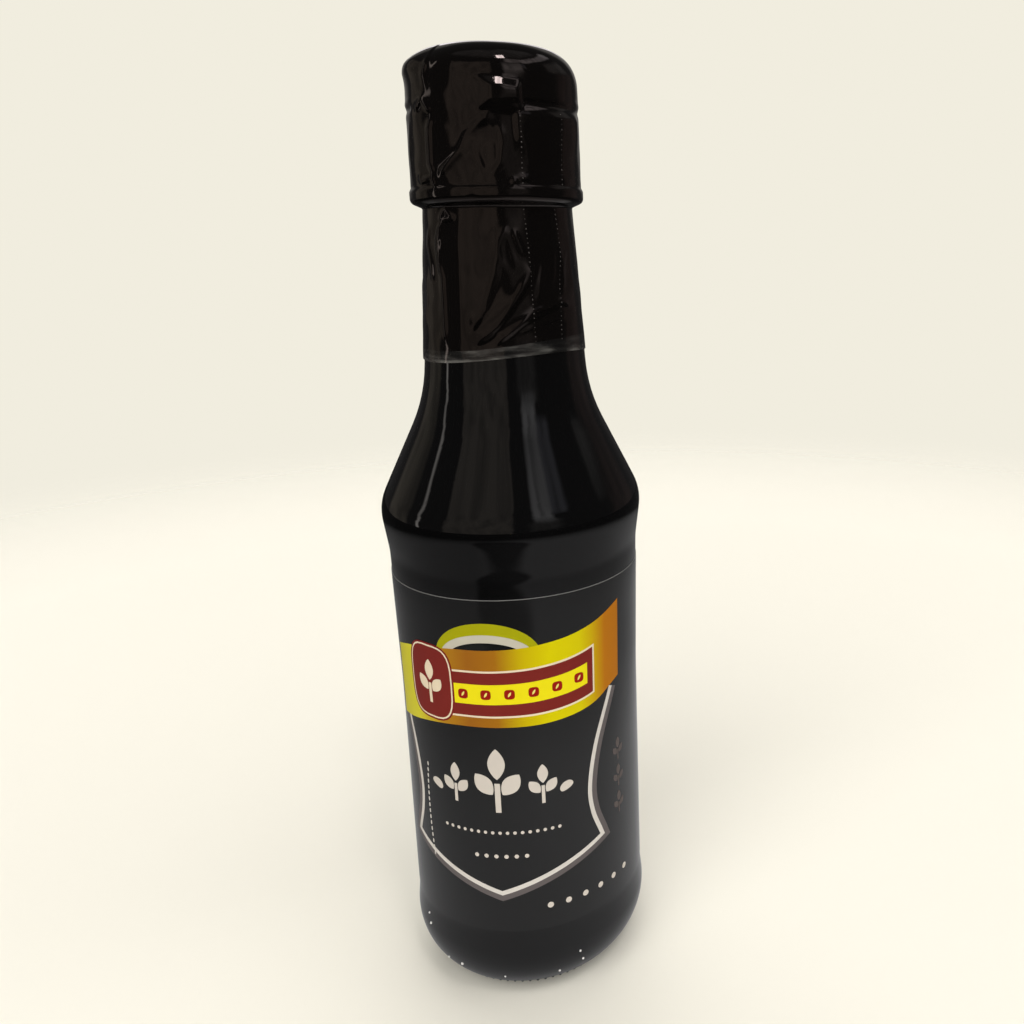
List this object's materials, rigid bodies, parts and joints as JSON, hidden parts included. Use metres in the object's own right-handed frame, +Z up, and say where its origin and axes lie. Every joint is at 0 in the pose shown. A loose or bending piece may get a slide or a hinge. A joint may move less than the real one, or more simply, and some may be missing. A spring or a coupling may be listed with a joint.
{
  "type": "soy sauce bottle",
  "caption": "Shut dark glass sauce bottle with a conical shoulder, full-wrap label and flip-top cap under a wrinkled shrink film.",
  "frame": {"origin": "centre of the foot, on the surface the bottle stands on", "axes": "+Z up along the bottle's axis; the lid's thumb tab and the label's front face towards -Y"},
  "size_m": [0.0496, 0.0496, 0.1783],
  "materials": {
    "glass": "smooth glossy glass that reads black with its dark contents",
    "label": "coated printed label, semi-gloss",
    "cap": "glossy moulded plastic",
    "film": "glossy shrink film with creases and a clear lower margin"
  },
  "bodies": {
    "root": {"bottle": "glass", "label": "label", "cap_base": "cap", "cap_lid": "cap", "shrink_film": "film"}
  },
  "joints": []
}
